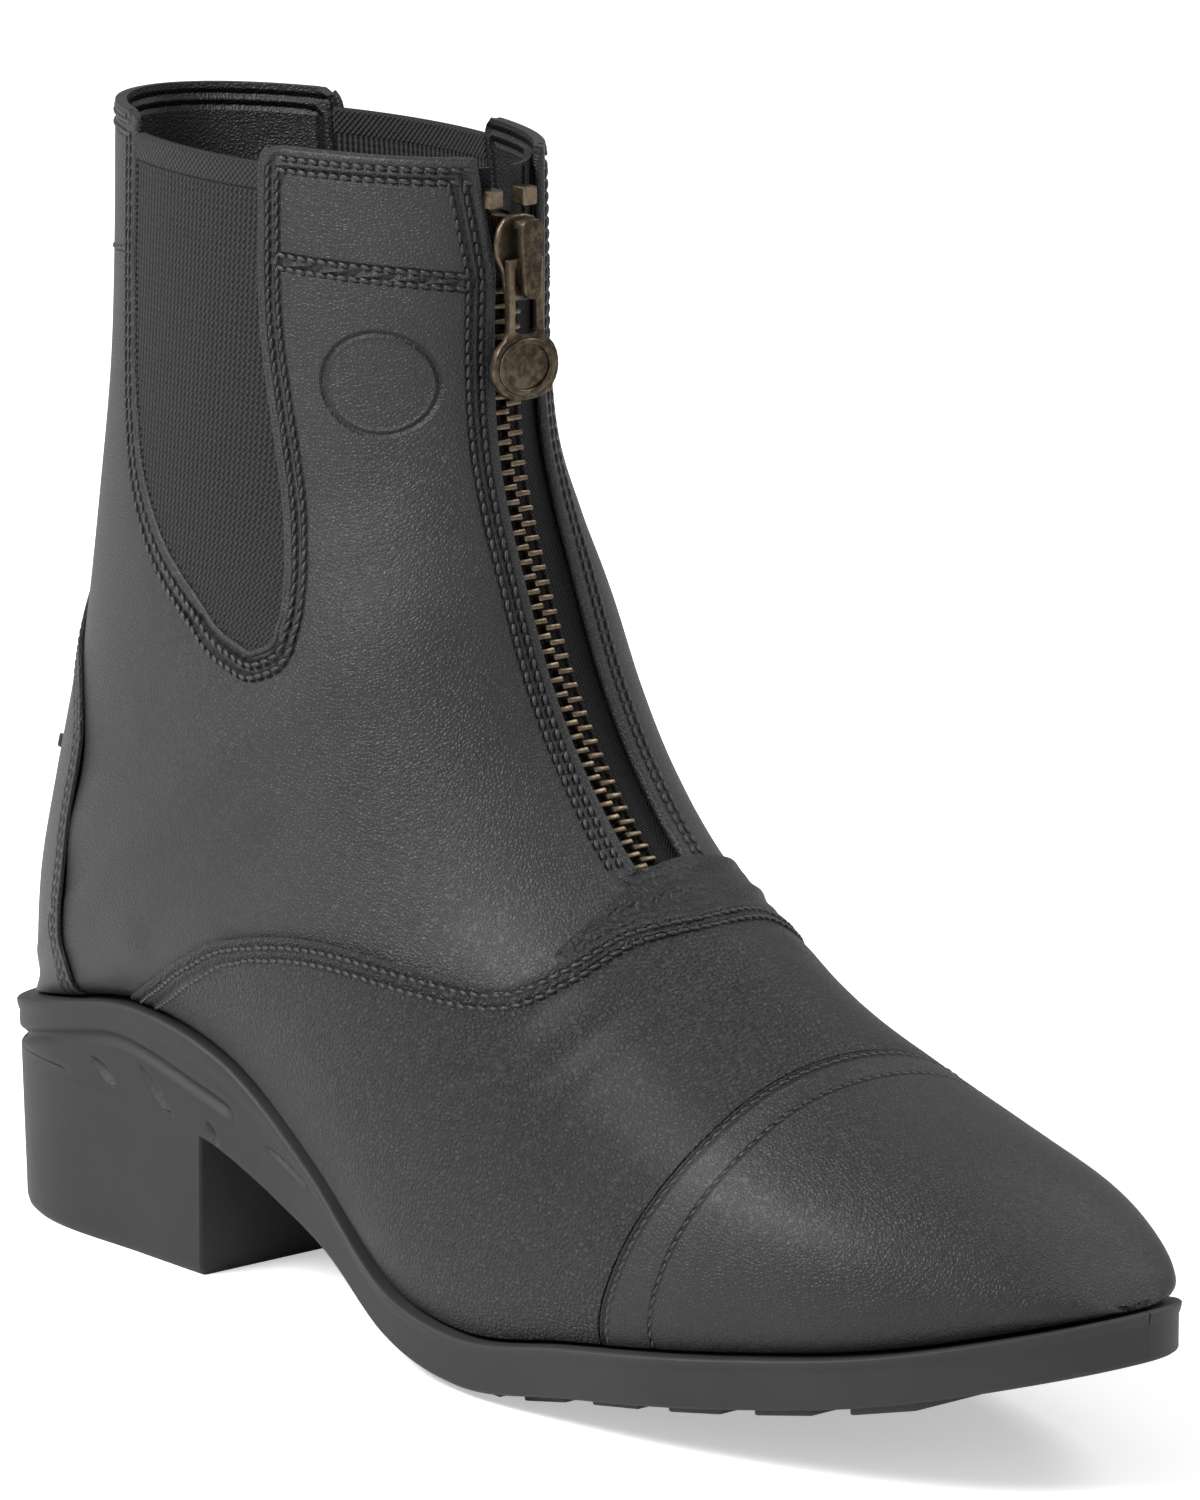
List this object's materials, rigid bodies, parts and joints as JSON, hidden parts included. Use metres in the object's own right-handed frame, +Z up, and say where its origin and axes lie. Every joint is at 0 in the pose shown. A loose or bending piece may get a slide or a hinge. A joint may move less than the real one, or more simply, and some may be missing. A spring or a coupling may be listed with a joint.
{
  "type": "paddock boot",
  "caption": "Ankle-high right riding boot with front zip, elastic side gores, stitched toe cap and vamp, counter with spur rest, and a moulded sole with block heel.",
  "frame": {"origin": "under the middle of the sole's outline, on the floor", "axes": "+X to the toe, +Y to the big-toe side, +Z up"},
  "size_m": [0.266, 0.0848, 0.201],
  "materials": {
    "leather": "charcoal black full-grain leather, fine grain, low sheen",
    "rubber": "matte black moulded rubber",
    "elastic": "black ribbed elastic and woven tape",
    "fabric": "black textile foot bed",
    "brass": "antique brown brass, worn on the edges"
  },
  "bodies": {
    "boot": {"outsole": "rubber", "insole": "fabric", "upper": "leather", "toe_cap": "leather", "vamp": "leather", "counter": "leather", "spur_rest": "rubber", "gusset": "leather", "gore_lateral": "elastic", "gore_medial": "elastic", "zip_tape_lateral": "elastic", "zip_tape_medial": "elastic", "zip_chain": "brass", "zip_stop_lateral": "brass", "zip_stop_medial": "brass", "slider": "brass"},
    "pull": {"pull_tab": "brass"}
  },
  "joints": [
    {"name": "pull_swing", "type": "hinge", "parent": "boot", "child": "pull", "pos_m": [-0.00891, -0.00012, 0.18355], "axis": [0, -1, 0], "range_deg": [0, 165]}
  ]
}
